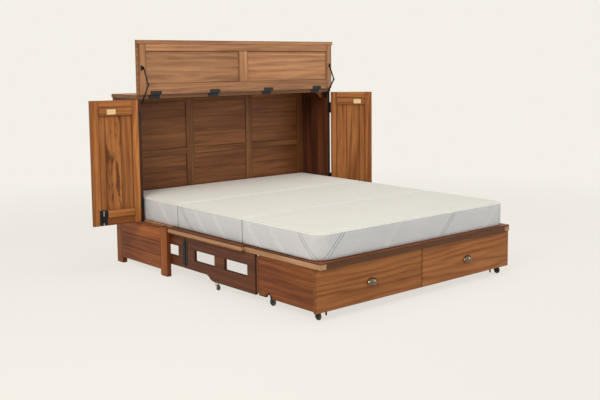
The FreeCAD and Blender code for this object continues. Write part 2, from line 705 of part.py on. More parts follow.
def fork(x, y, axle_y, top, axle_z, inner_w, ear_w, pin_r):
    """Two ears that hang from a crown and hold an axle pin."""
    solids = []
    for side in (-1, 1):
        near = x + side * inner_w / 2
        face = near if side > 0 else near - 2
        points = [V(face, y - ear_w, top), V(face, y + ear_w, top),
                  V(face, axle_y + 5, axle_z - 4), V(face, axle_y - 5, axle_z - 4)]
        solids.append(prism(points, X_AXIS, 2.0))
    solids.append(rod(V(x - inner_w / 2 - 2.8, axle_y, axle_z), X_AXIS, pin_r, inner_w + 5.6))
    return solids


def caster_swivel():
    """Stem, crown and trailing fork under the outer frame."""
    x, y = -caster_x(), -caster_y()
    crown_low = 2 * CASTER_R + 4
    crown = rod(V(x, y, crown_low), Z_AXIS, 12.0, FRAME_FOOT - 0.3 - crown_low)
    stem = rod(V(x, y, crown_low), Z_AXIS, SWIVEL_R, FRAME_FOOT + 18 - crown_low)
    parts = fork(x, y, y - SWIVEL_TRAIL, crown_low + 2, CASTER_R, CASTER_W + 1.6, 9.0, 2.5)
    return [crown.fuse([stem] + parts).removeSplitter()]


def wheel(x, y, radius, width, bore):
    """Tyred wheel: rounded tread and a hub that stands out at both sides."""
    edge = 0.16 * radius
    hub = 0.42 * radius
    sunk = 0.18 * width
    points = [V(0, bore, 0), V(0, hub, 0), V(sunk, hub + 1, 0), V(sunk, radius - 2.2 * edge, 0),
              V(0.05 * width, radius - 1.9 * edge, 0), V(0.05 * width, radius - edge, 0),
              V(0.25 * width, radius, 0)]
    outline = points + [V(width - p.x, p.y, 0) for p in reversed(points)]
    face = Part.Face(Part.makePolygon(outline + [outline[0]]))
    solid = face.revolve(V(0, 0, 0), X_AXIS, 360)
    solid.translate(V(x - width / 2, y, radius))
    return solid


def caster_wheel():
    return [wheel(-caster_x(), -caster_y() - SWIVEL_TRAIL, CASTER_R, CASTER_W, 2.5 + FIT)]


# ---------------------------------------------------------------- trolley
def trolley_sides():
    """End boards of the drawer base, with a round notch at the rear wheel."""
    solid = board(-FRAME_OUT, -FRAME_IN, -TROLLEY_END, -TROLLEY_SIDE_FROM, TROLLEY_BOTTOM, CARRIER_TOP)
    notch = rod(V(-FRAME_OUT - 1, -REAR_AXLE_Y - 8, TROLLEY_BOTTOM), X_AXIS, NOTCH_R, FRAME_T + 2)
    return both([solid.cut(notch)])


def trolley_carcass():
    """Hinge stiles, floor, back, rails, divider and the runners of the drawers."""
    rear = -TROLLEY_SIDE_FROM
    front = 2 - TROLLEY_END
    floor_top = TROLLEY_FLOOR + TROLLEY_FLOOR_T
    rail_low = CARRIER_TOP - TROLLEY_RAIL
    stile = board(2 - FRAME_OUT, -FRAME_IN, rear, -LAST_PIN_Y - KNUCKLE_OFF, TROLLEY_BOTTOM + 12,
                  CARRIER_TOP - 14)
    outer, inner = BOX_SIDE_PLAY - FRAME_IN, -BOX_INNER
    runners = [board(a, a + RUNNER_W, front, rear - 14, floor_top, BOX_BOTTOM - RUNNER_PLAY)
               for a in (outer, inner - RUNNER_W)]
    return [box(-FRAME_IN, FRAME_IN, front, rear, TROLLEY_FLOOR, floor_top),
            board(-FRAME_IN, FRAME_IN, rear - 12, rear, floor_top, rail_low),
            board(-FRAME_IN, FRAME_IN, rear - 42, rear, rail_low, CARRIER_TOP),
            board(-FRAME_IN, FRAME_IN, front, front + 40, rail_low, CARRIER_TOP),
            board(-9, 9, front, rear - 12, floor_top, rail_low)] + both([stile] + runners)


def trolley_hardware():
    """Fixed caster forks under the floor, the glides, and the last hinge leaves."""
    left = [frame_leaf(-PIN_IN, -LAST_PIN_Y, -Y_AXIS, -X_AXIS, True)]
    for y in (-REAR_AXLE_Y, -FRONT_AXLE_Y):
        plate = box(-WHEEL_X - 14, -WHEEL_X + 14, y - 20, y + 20, TROLLEY_FLOOR - 2, TROLLEY_FLOOR)
        parts = fork(-WHEEL_X, y, y, TROLLEY_FLOOR - 1, WHEEL_R, WHEEL_W + 2, 14.0, 3.0)
        left.append(plate.fuse(parts).removeSplitter())
    left.append(rod(V(-WHEEL_X + 60, 32 - TROLLEY_END, 14), Z_AXIS, 5.0, TROLLEY_FLOOR - 14))
    return both(left)


def wheel_pair(y):
    return both([wheel(-WHEEL_X, -y, WHEEL_R, WHEEL_W, 3.0 + FIT)])


def drawer_front():
    outer, inner = -FRONT_W / 2, -FRONT_GAP / 2
    rear = -TROLLEY_END - FRONT_REST
    solid = box(outer, inner, rear - FRONT_T, rear, FRONT_BOTTOM, FRONT_TOP)
    face = [edge for edge in solid.Edges if edge.BoundBox.YMax < rear - FRONT_T + 0.01]
    return [solid.makeFillet(2.5, face)]


def drawer_box():
    """Four walls round a bottom, behind the front."""
    outer, inner = BOX_SIDE_PLAY - FRAME_IN, -BOX_INNER
    front = -TROLLEY_END - FRONT_REST
    rear = front + BOX_L
    wall = BOX_WALL
    return [box(outer, outer + wall, front, rear, BOX_BOTTOM, BOX_TOP),
            box(inner - wall, inner, front, rear, BOX_BOTTOM, BOX_TOP),
            box(outer + wall, inner - wall, rear - wall, rear, BOX_BOTTOM, BOX_TOP),
            box(outer + wall, inner - wall, front, front + wall, BOX_BOTTOM, BOX_TOP),
            box(outer + wall, inner - wall, front + wall, rear - wall, BOX_BOTTOM, BOX_BOTTOM + BOX_FLOOR)]


def half_oval(inset):
    """Edges of the upper half of the pull's oval, `inset` from its outside, and its two ends."""
    end_x = PULL_W / 2 - PULL_END_R
    rise = PULL_H / 2 - PULL_END_R
    drop = (end_x ** 2 - rise ** 2) / (2 * rise)
    meet = math.atan2(drop, end_x)
    radius = PULL_END_R - inset

    def on_end(angle, side):
        return V(side * (end_x + radius * math.cos(angle)), 0, radius * math.sin(angle))

    tips = [on_end(PULL_TIP, side) for side in (1, -1)]
    edges = [Part.Arc(tip, on_end((PULL_TIP + meet) / 2, side), on_end(meet, side)).toShape()
             for tip, side in zip(tips, (1, -1))]
    crest = V(0, 0, PULL_H / 2 - inset)
    edges.append(Part.Arc(on_end(meet, 1), crest, on_end(meet, -1)).toShape())
    return edges, tips


def drawer_pull():
    """Oval cup pull, hollow, open below for the fingers."""
    face = -TROLLEY_END - FRONT_REST - FRONT_T
    outer, outer_tips = half_oval(0)
    inner, inner_tips = half_oval(PULL_WALL)
    closing = [Part.makeLine(a, b) for a, b in zip(outer_tips, inner_tips)]
    rim = Part.Wire(Part.__sortEdges__(outer + inner + closing))
    cup = Part.Face(rim).revolve(V(0, 0, 0), X_AXIS, PULL_SWEEP)
    cup.translate(V(-PULL_X, face, PULL_Z))
    return [cup]


# ---------------------------------------------------------------- folding deck
def slab_ribs(half, near, far, low, high, count):
    """Edge battens, end battens and `count` battens between them."""
    solids = both([board(-half, RIB_W - half, -far, -near, low, high)])
    inner = half - RIB_W
    solids += [board(-inner, inner, -near - RIB_W, -near, low, high),
               board(-inner, inner, -far, RIB_W - far, low, high)]
    for x in spread(inner * count / (count + 1), count):
        solids.append(board(x - RIB_W / 2, x + RIB_W / 2, RIB_W - far, -near - RIB_W, low, high))
    return solids


def deck_reliefs():
    return (knuckle_relief(-DECK_PIN_Y, DECK_PIN_Z, DECK_HINGE_X, DECK_LEAF_L)
            + knuckle_relief(-FOOT_PIN_Y, DECK_PIN_Z, DECK_HINGE_X, DECK_LEAF_L))


def deck_boards(half, near, far):
    boards = planks(-near, -far, 4, lambda a, b: board(-half, half, a, b, SKIN_UNDER, DECK_TOP))
    return relieve(boards, deck_reliefs())


def mid_deck_board():
    return deck_boards(MID_DECK_W / 2, MID_DECK_START - JOINT_GAP / 2, MID_DECK_END + JOINT_GAP / 2)


def mid_deck_frame():
    return slab_ribs(MID_DECK_W / 2, MID_DECK_START, MID_DECK_END, FACE_TOP, SKIN_UNDER, 3)


def front_panel_boards():
    """Underside of the middle deck: the cabinet's front when the bed is put away."""
    half = MID_DECK_W / 2
    return planks(-MID_DECK_START, -MID_DECK_END, 5,
                  lambda a, b: board(-half, half, a, b, DECK_UNDER, FACE_TOP))


def foot_deck_board():
    return deck_boards(FOOT_DECK_W / 2, FOOT_DECK_START - JOINT_GAP / 2, FOOT_DECK_END)


def foot_deck_frame():
    return slab_ribs(FOOT_DECK_W / 2, FOOT_DECK_START, FOOT_DECK_END, DECK_UNDER, SKIN_UNDER, 3)


def deck_leaves(y, inward, pinned):
    return [hinge_leaf(V(x, -y, DECK_PIN_Z), -Z_AXIS, inward, DECK_LEAF_L, DECK_LEAF_W, pinned)
            for x in DECK_HINGE_X]


def mid_deck_leaves():
    return deck_leaves(DECK_PIN_Y, -Y_AXIS, False) + deck_leaves(FOOT_PIN_Y, Y_AXIS, True)


def foot_deck_leaves():
    return deck_leaves(FOOT_PIN_Y, -Y_AXIS, False)


# ---------------------------------------------------------------- mattress
def soft_outline(half, low, high, drawn, crown, flat_end):
    """Closed outline across (h, z): bulged ends, crowned top; one end may be cut straight."""
    side_z = (low + high) / 2
    corner = half - drawn
    near = half if flat_end else corner
    edges = []
    a, b = (-corner, low), (near, low)
    c, d = (near, high - crown), (-corner, high - crown)
    edges.append((a, None, b))
    edges.append((b, None if flat_end else (half, side_z), c))
    edges.append((c, (0.0, high), d))
    edges.append((d, (-half, side_z), a))
    return edges


def soft_prism(edges, to_point, axis, depth):
    wire = []
    for start, middle, end in edges:
        if middle is None:
            wire.append(Part.makeLine(to_point(start), to_point(end)))
        else:
            wire.append(Part.Arc(to_point(start), to_point(middle), to_point(end)).toShape())
    return Part.Face(Part.Wire(wire)).extrude(axis * depth)


def mattress_section(index):
    """One third of the mattress: crowned, with sides drawn in at top and bottom."""
    low = DECK_TOP + SOFT_GAP
    high = low + MATTRESS_T
    near = MATTRESS_FROM + index * (SECTION_L + SECTION_GAP)
    far = near + SECTION_L
    middle = -(near + far) / 2
    half = MATTRESS_W / 2
    across = soft_outline(half, low, high, DRAWN_IN, CROWN, False)
    body = soft_prism(across, lambda p: V(p[0], -far, p[1]), Y_AXIS, SECTION_L)
    inner = index == 1
    sign = 1 if index == 2 else -1
    along = soft_outline(SECTION_L / 2, low, high, DRAWN_IN / 2, 3.0, True)
    if not inner:
        cut = soft_prism(along, lambda p: V(-half, middle + sign * p[0], p[1]), X_AXIS, 2 * half)
        body = body.common(cut)
    grooves = {0: DECK_PIN_Y, 2: FOOT_PIN_Y}
    if index in grooves:
        groove = rod(V(-half - 5, -grooves[index], DECK_PIN_Z), X_AXIS, KNUCKLE_R + 1, 2 * half + 10)
        body = body.cut(groove)
    return [body]


# ---------------------------------------------------------------- assembly
nodes = {}
nodes["base_posts"] = base_posts()
nodes["base_sides"] = base_sides()
nodes["base_rails"] = base_rails()
nodes["head_deck"] = head_deck()
nodes["upper_sides"] = upper_sides()
nodes["back_frame"] = back_frame()
nodes["back_boards"] = back_boards()
nodes["rear_top"] = rear_top()
nodes["cabinet_hardware"] = cabinet_hardware()
nodes["lid_board"] = lid_board()
nodes["lid_frame"] = lid_frame()
nodes["lid_panels"] = lid_panels()
nodes["lid_hinge_leaves"] = lid_hinge_leaves()

for name, make in (("stay_upper", stay_upper), ("stay_lower", stay_lower),
                   ("frame_a", frame_a), ("frame_b", frame_b),
                   ("frame_a_leaves", frame_a_leaves), ("frame_b_leaves", frame_b_leaves),
                   ("caster_swivel", caster_swivel), ("caster_wheel", caster_wheel),
                   ("drawer_front", drawer_front), ("drawer_box", drawer_box),
                   ("drawer_pull", drawer_pull)):
    nodes[name + "_left"] = make()
    nodes[name + "_right"] = mirrored(make())

for side, opened, plate_at in (("left", WING_OPEN_LEFT, PLATE_LEFT),
                               ("right", WING_OPEN_RIGHT, PLATE_RIGHT)):
    pieces = {"wing_frame_": wing_frame(), "wing_boards_": wing_boards(),
              "wing_plate_": wing_plate(plate_at), "wing_hardware_": wing_hardware(),
              "bolt_rod_": bolt_rod()}
    for name, solids in pieces.items():
        swung = turned(solids, -WING_PIN_X, -WING_PIN_Y, -opened)
        nodes[name + side] = swung if side == "left" else mirrored(swung)

nodes["trolley_sides"] = trolley_sides()
nodes["trolley_carcass"] = trolley_carcass()
nodes["trolley_hardware"] = trolley_hardware()
nodes["wheels_rear"] = wheel_pair(REAR_AXLE_Y)
nodes["wheels_front"] = wheel_pair(FRONT_AXLE_Y)
nodes["mid_deck_board"] = mid_deck_board()
nodes["mid_deck_frame"] = mid_deck_frame()
nodes["front_panel_boards"] = front_panel_boards()
nodes["mid_deck_leaves"] = mid_deck_leaves()
nodes["foot_deck_board"] = foot_deck_board()
nodes["foot_deck_frame"] = foot_deck_frame()
nodes["foot_deck_leaves"] = foot_deck_leaves()
for index, name in enumerate(("mattress_head", "mattress_mid", "mattress_foot")):
    nodes[name] = mattress_section(index)

os.makedirs("parts", exist_ok=True)
for name, solids in nodes.items():
    flat = [solid for shape in solids for solid in shape.Solids]
    shape = flat[0] if len(flat) == 1 else Part.makeCompound(flat)
    shape.exportStep("parts/" + name + ".step")
print(len(nodes), "nodes,", sum(len(shape.Solids) for solids in nodes.values() for shape in solids), "solids")
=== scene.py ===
import math
import random

import bmesh
import bpy
import numpy as np
from mathutils import Matrix, Vector


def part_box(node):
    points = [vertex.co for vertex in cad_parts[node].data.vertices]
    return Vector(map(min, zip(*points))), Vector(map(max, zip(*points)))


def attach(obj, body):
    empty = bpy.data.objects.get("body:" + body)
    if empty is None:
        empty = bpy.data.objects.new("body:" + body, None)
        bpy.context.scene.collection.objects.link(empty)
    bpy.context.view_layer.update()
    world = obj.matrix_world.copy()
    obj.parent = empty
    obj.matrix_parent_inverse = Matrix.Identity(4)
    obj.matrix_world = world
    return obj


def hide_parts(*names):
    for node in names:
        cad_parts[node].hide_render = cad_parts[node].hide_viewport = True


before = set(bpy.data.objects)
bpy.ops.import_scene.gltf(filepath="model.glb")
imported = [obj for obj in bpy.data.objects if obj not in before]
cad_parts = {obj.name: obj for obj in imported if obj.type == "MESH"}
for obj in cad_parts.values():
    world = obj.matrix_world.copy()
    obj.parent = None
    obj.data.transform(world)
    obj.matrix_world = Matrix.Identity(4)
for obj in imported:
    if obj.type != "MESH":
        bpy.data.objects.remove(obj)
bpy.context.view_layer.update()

# Lengths are in metres.  The wall is at y = 0, the foot of the bed at negative y, and left is -x.

# ---------------------------------------------------------------- camera, as the photograph shows it
CAMERA_AT = (-3.8032, -5.6404, 1.4012)
PAN = math.radians(44.4)            # from +Y towards +X
TILT = math.radians(6.34)           # downwards
FOCAL_PX = 921.0
CENTRE_PX = (385.0, 155.0)
PHOTO_PX = (600.0, 400.0)
SENSOR = 36.0                       # millimetres

# ---------------------------------------------------------------- light, floor, background
AIM = (0, -1.0, 0.5)
LIGHTS = (                          # name, place, diameter, watts, colour
    ("key", (-5.0, -3.6, 4.2), 3.2, 230, (1.0, 0.97, 0.93)),
    ("fill", (3.6, -5.2, 2.6), 3.5, 80, (0.95, 0.97, 1.0)),
    ("top", (0.2, -1.2, 5.0), 4.0, 85, (1.0, 0.99, 0.97)),
)
SKY = (1.0, 0.985, 0.96)            # what lights the object from all round
SKY_STRENGTH = 0.34
BACKGROUND = (0.905, 0.871, 0.807)  # what the camera sees
FLOOR_COLOUR = (0.80, 0.772, 0.72)
FLOOR_MIDDLE = (0, -1.0, 0)
FLOOR_RADIUS = 6.0
FLOOR_SHADOW = 0.22                 # share of the floor that shows light and shadow
FLOOR_FADE = (2.4, 4.8)             # that share goes to nothing between these radii

# ---------------------------------------------------------------- mattress
MATTRESS_HALF = 0.775               # half its width
MATTRESS_LOW = 0.3184               # its underside
FOOT_CORNER = 0.085                 # plan radius at the bed's foot corners
HEAD_CORNER = 0.040
SEAM_CORNER = 0.012                 # plan radius where two sections meet
LEAST_CORNER = 0.003
CORNER_STEPS = 9                    # facets of a corner
SIDE_STEPS = 14                     # parts of a straight side
SIDE_PROFILE = (                    # inset from the outline, height over the underside
    (0.016, 0.0), (0.006, 0.0022), (0.0015, 0.009), (-0.0005, 0.024), (-0.003, 0.060),
    (-0.0035, 0.085), (-0.002, 0.115), (0.0005, 0.132), (0.003, 0.1395), (0.010, 0.1450))
TOP_PROFILE = ((0.030, 0.1475), (0.075, 0.1496), (0.150, 0.1515), (0.240, 0.1528), (0.320, 0.1535))
WAVY_FROM = 0.146                   # height over the underside where the top's waves begin
WAVE_HEIGHT = 0.0008
SECTIONS = (                        # section, radii from the left foot corner round, wave phase
    ("head", (SEAM_CORNER, SEAM_CORNER, HEAD_CORNER, HEAD_CORNER), 1.0),
    ("mid", (SEAM_CORNER,) * 4, 2.3),
    ("foot", (FOOT_CORNER, FOOT_CORNER, SEAM_CORNER, SEAM_CORNER), 4.1),
)
PIPING_R = 0.0032
PIPING_LIFT = 0.0005

# ---------------------------------------------------------------- sewn lines on the mattress sides
QUILT_R = 0.0011
QUILT_GAP = 0.024                   # between the two lines of a pair
QUILT_LEAN = 0.95                   # run of the lines per metre of rise
QUILT_SPAN = (0.005, 0.137)         # heights over the underside
QUILT_STEPS = 14
QUILT_AIM = 0.07                    # height at which a line's lower end is looked up
SEAM_SHADE_INSET = 0.003                  # painted shade: a dark line down each seam, in from the mattress side
SEAM_SHADE_SPAN = (0.004, 0.138)
SEAM_SHADE_FROM = -2.0                    # no painted seam line at the foot end
QUILT = {                           # side, lower end along it, thread
    "mattress_head": (
        ("left", -0.20, "light"), ("left", -0.40, "dark"), ("left", -0.62, "light"),
        ("right", -0.20, "light"), ("right", -0.40, "dark"), ("right", -0.62, "light")),
    "mattress_mid": (
        ("left", -0.87, "dark"), ("left", -1.02, "light"), ("left", -1.22, "light"),
        ("right", -0.87, "light"), ("right", -1.02, "dark"), ("right", -1.20, "light")),
    "mattress_foot": (
        ("left", -1.55, "light"), ("left", -1.77, "light"), ("left", -2.03, "dark"),
        ("right", -1.55, "light"), ("right", -1.72, "dark"), ("right", -1.90, "light"),
        ("foot", -0.735, "dark"), ("foot", -0.30, "light"), ("foot", 0.16, "dark"),
        ("foot", 0.56, "light")),
}

# ---------------------------------------------------------------- colours
STAIN_FIGURE = (0.47, 0.60, 0.0, 0.85)      # where marked boards go dark, and how far: patches of dark heartwood
# painted shade: the marked board goes dark all over, as the foot deck's front looks in the shade below
# the mattress
PAINTED_SHADE_ALL_OVER = (0.0, 0.1, 0.0, 0.93)
WOODS = {                           # dark, middle and light colour, then what differs from plain wood
    "outer": ((0.092, 0.025, 0.007), (0.265, 0.083, 0.019), (0.420, 0.160, 0.043), {"heart": 0.5}),
    "drawer": ((0.122, 0.037, 0.009), (0.248, 0.080, 0.018), (0.336, 0.124, 0.033),
               {"rings": 0.35, "knots": 0.9, "heart": 0.35}),
    "base": ((0.088, 0.020, 0.004), (0.218, 0.054, 0.009), (0.343, 0.101, 0.020), {"heart": 0.4}),
    "trolley": ((0.070, 0.016, 0.003), (0.168, 0.043, 0.007), (0.262, 0.080, 0.016), {"heart": 0.4}),
    "lid": ((0.155, 0.066, 0.030), (0.320, 0.145, 0.065), (0.460, 0.225, 0.103),
            {"knots": 0.4, "heart": 0.35}),
    "inside": ((0.085, 0.030, 0.009), (0.187, 0.070, 0.022), (0.276, 0.113, 0.038), {"rings": 0.1}),
    "back": ((0.092, 0.031, 0.010), (0.188, 0.067, 0.022), (0.272, 0.105, 0.036),
             {"rings": 0.1, "heart": 0.7, "dirt": 0.12}),
    # painted shade: far darker than the other inside wood, as the upper sides look in the cabinet's
    # shade
    "deep_painted_shade": ((0.035, 0.010, 0.005), (0.085, 0.025, 0.010), (0.145, 0.047, 0.018), {"rings": 0.1}),
    "folding": ((0.046, 0.012, 0.004), (0.110, 0.030, 0.009), (0.168, 0.053, 0.016),
                {"rings": 0.1, "knots": 0.4}),
    "skin": ((0.071, 0.018, 0.005), (0.149, 0.045, 0.012), (0.214, 0.073, 0.021), {}),
    "rail": ((0.300, 0.135, 0.050), (0.480, 0.250, 0.115), (0.640, 0.400, 0.225),
             {"rings": 0.1, "knots": 0.3, "heart": 0.3, "dirt": 0.25}),
    # painted shade: the rail's wood with a far darker dark colour, for the shade below the mattress's
    # foot; its front board goes dark all over
    "foot_rail_painted_shade": ((0.100, 0.034, 0.012), (0.480, 0.250, 0.115), (0.640, 0.400, 0.225),
                  {"rings": 0.1, "knots": 0.3, "heart": 0.3, "dirt": 0.25, "heartwood_and_shade_spread": PAINTED_SHADE_ALL_OVER}),
    "box": ((0.260, 0.140, 0.065), (0.420, 0.250, 0.130), (0.540, 0.350, 0.205), {"rings": 0.1}),
}
METALS = {                          # colour, colour where worn, roughness, metallic
    "iron": ((0.016, 0.014, 0.014), (0.06, 0.055, 0.05), 0.42, 0.6),
    "steel": ((0.52, 0.52, 0.50), (0.36, 0.35, 0.33), 0.28, 1.0),
    "brass": ((0.80, 0.60, 0.33), (0.30, 0.19, 0.09), 0.34, 1.0),
    "bronze": ((0.16, 0.125, 0.085), (0.42, 0.34, 0.24), 0.22, 1.0),
}
RUBBER = ((0.018, 0.018, 0.02), (0.07, 0.065, 0.06))    # clean, dusty
KNITS = {                           # colour, thread colour, depth of the ribs, strength of the mottle
    "side_knit": ((0.68, 0.68, 0.68), (0.53, 0.535, 0.545), 0.35, 0.35),
    "top_knit": ((0.755, 0.74, 0.67), (0.65, 0.64, 0.575), 0.35, 0.3),
    "piping": ((0.88, 0.85, 0.78), (0.78, 0.75, 0.68), 0.2, 0.1),
    "thread_light": ((0.86, 0.85, 0.83), (0.74, 0.73, 0.71), 0.2, 0.1),
    "thread_dark": ((0.24, 0.24, 0.25), (0.17, 0.17, 0.18), 0.2, 0.1),
}

# ---------------------------------------------------------------- which CAD node wears what
WOOD_NODES = {
    "outer": ("front_panel_boards", "wing_frame_left", "wing_frame_right", "wing_boards_left",
              "wing_boards_right"),
    "base": ("base_posts", "base_sides"),
    "trolley": ("trolley_sides",),
    # the upper sides wear painted shade
    "deep_painted_shade": ("upper_sides",),
    "drawer": ("drawer_front_left", "drawer_front_right"),
    "lid": ("rear_top", "lid_board", "lid_frame", "lid_panels"),
    "inside": ("back_frame", "base_rails"),
    "back": ("back_boards",),
    "folding": ("frame_a_left", "frame_a_right", "frame_b_left", "frame_b_right", "trolley_carcass"),
    "skin": ("mid_deck_board", "foot_deck_board"),
    "rail": ("head_deck", "mid_deck_frame"),
    # the foot deck frame wears painted shade
    "foot_rail_painted_shade": ("foot_deck_frame",),
    "box": ("drawer_box_left", "drawer_box_right"),
}
OTHER_NODES = {
    "iron": ("cabinet_hardware", "lid_hinge_leaves", "stay_upper_left", "stay_upper_right",
             "stay_lower_left", "stay_lower_right", "wing_hardware_left", "wing_hardware_right",
             "frame_a_leaves_left", "frame_a_leaves_right", "frame_b_leaves_left",
             "frame_b_leaves_right", "trolley_hardware", "mid_deck_leaves", "foot_deck_leaves"),
    "steel": ("bolt_rod_left", "bolt_rod_right", "caster_swivel_left", "caster_swivel_right"),
    "brass": ("wing_plate_left", "wing_plate_right"),
    "bronze": ("drawer_pull_left", "drawer_pull_right"),
    "rubber": ("caster_wheel_left", "caster_wheel_right", "wheels_rear", "wheels_front"),
}
FIRST_SEED = 4                      # the wood nodes count on from here
WING_TURN = {"left": 96.8, "right": -55.1}      # degrees that square each wing with the axes
TONES = {                           # board by board, 0 dark to 1 light; other boards draw theirs
    "lid_panels": (0.25, 1.0),
    "drawer_front_left": (0.6,),
    "drawer_front_right": (0.75,),
    "back_boards": (0.55, 0.5, 0.6) * 6,
}
HEARTWOOD_AND_SHADE_BOARDS = {"foot_deck_frame": (3,), "wing_boards_left": (1,)}      # boards that go dark: dark heartwood on the left wing, painted shade on the foot deck's front board
JOINTED = ("back_boards", "wing_boards_left", "wing_boards_right")
JOINT_SWELL = 0.0006
WELD_REACH = 0.00002


def add_object(name, data):
    thing = bpy.data.objects.new(name, data)
    bpy.context.scene.collection.objects.link(thing)
    return thing


# ---------------------------------------------------------------- node trees
class Nodes:
    """A node tree, with short ways to add nodes to it."""

    def __init__(self, tree):
        self.tree = tree

    def node(self, kind, **settings):
        made = self.tree.nodes.new(kind)
        for key, value in settings.items():
            setattr(made, key, value)
        return made

    def feed(self, socket, value):
        """Link a socket to an output, or set it to a number, a vector or a colour."""
        if isinstance(value, bpy.types.NodeSocket):
            self.tree.links.new(value, socket)
        elif socket.type == "RGBA":
            socket.default_value = tuple(value) + (1,)
        else:
            socket.default_value = value

    def feed_all(self, made, values):
        for key, value in values.items():
            self.feed(made.inputs[key], value)

    def math(self, operation, *values):
        made = self.node("ShaderNodeMath", operation=operation)
        self.feed_all(made, dict(enumerate(values)))
        return made.outputs[0]

    def vector_math(self, operation, *values):
        made = self.node("ShaderNodeVectorMath", operation=operation)
        self.feed_all(made, dict(enumerate(values)))
        return made

    def glow(self, kind, colour, strength):
        """A shader that gives off its own light: an emission or a background."""
        made = self.node(kind)
        self.feed_all(made, {"Color": colour, "Strength": strength})
        return made.outputs[0]

    def mix_shaders(self, share, first, second):
        made = self.node("ShaderNodeMixShader")
        self.feed_all(made, {0: share, 1: first, 2: second})
        return made.outputs[0]

    def shows_background(self):
        """1 for rays from the camera, off shiny surfaces and through glass, and 0 for light."""
        path = self.node("ShaderNodeLightPath").outputs
        mirrored = self.math("MAXIMUM", path["Is Glossy Ray"], path["Is Transmission Ray"])
        return self.math("MAXIMUM", path["Is Camera Ray"], mirrored)


class Shade(Nodes):
    """A material with one principled shader."""

    def __init__(self, name):
        self.material = bpy.data.materials.new(name)
        self.material.use_nodes = True
        super().__init__(self.material.node_tree)
        self.bsdf = self.tree.nodes["Principled BSDF"]

    def surface(self, values):
        self.feed_all(self.bsdf, values)

    def object_place(self):
        return self.node("ShaderNodeTexCoord").outputs["Object"]

    def attribute(self, name, output):
        return self.node("ShaderNodeAttribute", attribute_name=name).outputs[output]

    def split(self, vector):
        made = self.node("ShaderNodeSeparateXYZ")
        self.feed(made.inputs[0], vector)
        return made.outputs

    def weighted(self, *terms):
        """Sum of outputs, each times its weight."""
        total = None
        for output, weight in terms:
            part = self.math("MULTIPLY", output, weight)
            total = part if total is None else self.math("ADD", total, part)
        return total

    def remap(self, value, low, high, to_low, to_high):
        made = self.node("ShaderNodeMapRange")
        self.feed_all(made, {"Value": value, "From Min": low, "From Max": high,
                             "To Min": to_low, "To Max": to_high})
        return made.outputs["Result"]

    def scaled(self, place, per_metre):
        return self.vector_math("MULTIPLY", place, per_metre).outputs[0]

    def noise(self, place, per_metre, detail=3.0, rough=0.55, distortion=0.0):
        made = self.node("ShaderNodeTexNoise")
        self.feed_all(made, {"Vector": self.scaled(place, per_metre), "Scale": 1.0,
                             "Detail": detail, "Roughness": rough, "Distortion": distortion})
        return made.outputs["Fac"]

    def cells(self, place, scale=1.0):
        made = self.node("ShaderNodeTexVoronoi", feature="F1")
        self.feed_all(made, {"Vector": place, "Scale": scale})
        return made.outputs

    def ramp(self, value, stops):
        made = self.node("ShaderNodeValToRGB")
        steps = made.color_ramp.elements
        while len(steps) < len(stops):
            steps.new(0.5)
        for step, (at, colour) in zip(steps, stops):
            step.position = at
            step.color = tuple(colour) + (1,)
        self.feed(made.inputs["Fac"], value)
        return made.outputs["Color"]

    def mix(self, share, first, second, blend="MIX"):
        made = self.node("ShaderNodeMix", data_type="RGBA", blend_type=blend)
        self.feed_all(made, {0: share, 6: first, 7: second})
        return made.outputs[2]

    def bump(self, height, strength, distance):
        made = self.node("ShaderNodeBump")
        self.feed_all(made, {"Strength": strength, "Distance": distance, "Height": height})
        self.surface({"Normal": made.outputs[0]})


def shift(colour, factor):
    return tuple(min(1.0, channel * factor) for channel in colour)


# ---------------------------------------------------------------- camera, lights, floor
def make_camera():
    data = bpy.data.cameras.new("camera")
    data.sensor_width = SENSOR
    data.sensor_fit = "HORIZONTAL"
    data.lens = FOCAL_PX / PHOTO_PX[0] * SENSOR
    data.shift_x = 0.5 - CENTRE_PX[0] / PHOTO_PX[0]
    data.shift_y = (CENTRE_PX[1] - PHOTO_PX[1] / 2) / PHOTO_PX[0]
    camera = add_object("camera", data)
    camera.location = CAMERA_AT
    level = math.cos(TILT)
    forward = Vector((math.sin(PAN) * level, math.cos(PAN) * level, -math.sin(TILT)))
    camera.rotation_euler = forward.to_track_quat("-Z", "Y").to_euler()
    bpy.context.scene.camera = camera


def make_lights():
    for name, place, diameter, watts, colour in LIGHTS:
        data = bpy.data.lights.new(name, "AREA")
        data.shape = "DISK"
        data.size = diameter
        data.energy = watts
        data.color = colour
        lamp = add_object(name, data)
        lamp.location = place
        lamp.rotation_euler = (Vector(AIM) - Vector(place)).to_track_quat("-Z", "Y").to_euler()


def make_world():
    """A dim pale sky for the light, and the background's colour for what is seen."""
    world = bpy.data.worlds.new("world")
    bpy.context.scene.world = world
    world.use_nodes = True
    nodes = Nodes(world.node_tree)
    nodes.tree.nodes.clear()
    light = nodes.glow("ShaderNodeBackground", SKY, SKY_STRENGTH)
    shown = nodes.glow("ShaderNodeBackground", BACKGROUND, 1.0)
    out = nodes.node("ShaderNodeOutputWorld")
    nodes.feed(out.inputs["Surface"], nodes.mix_shaders(nodes.shows_background(), light, shown))


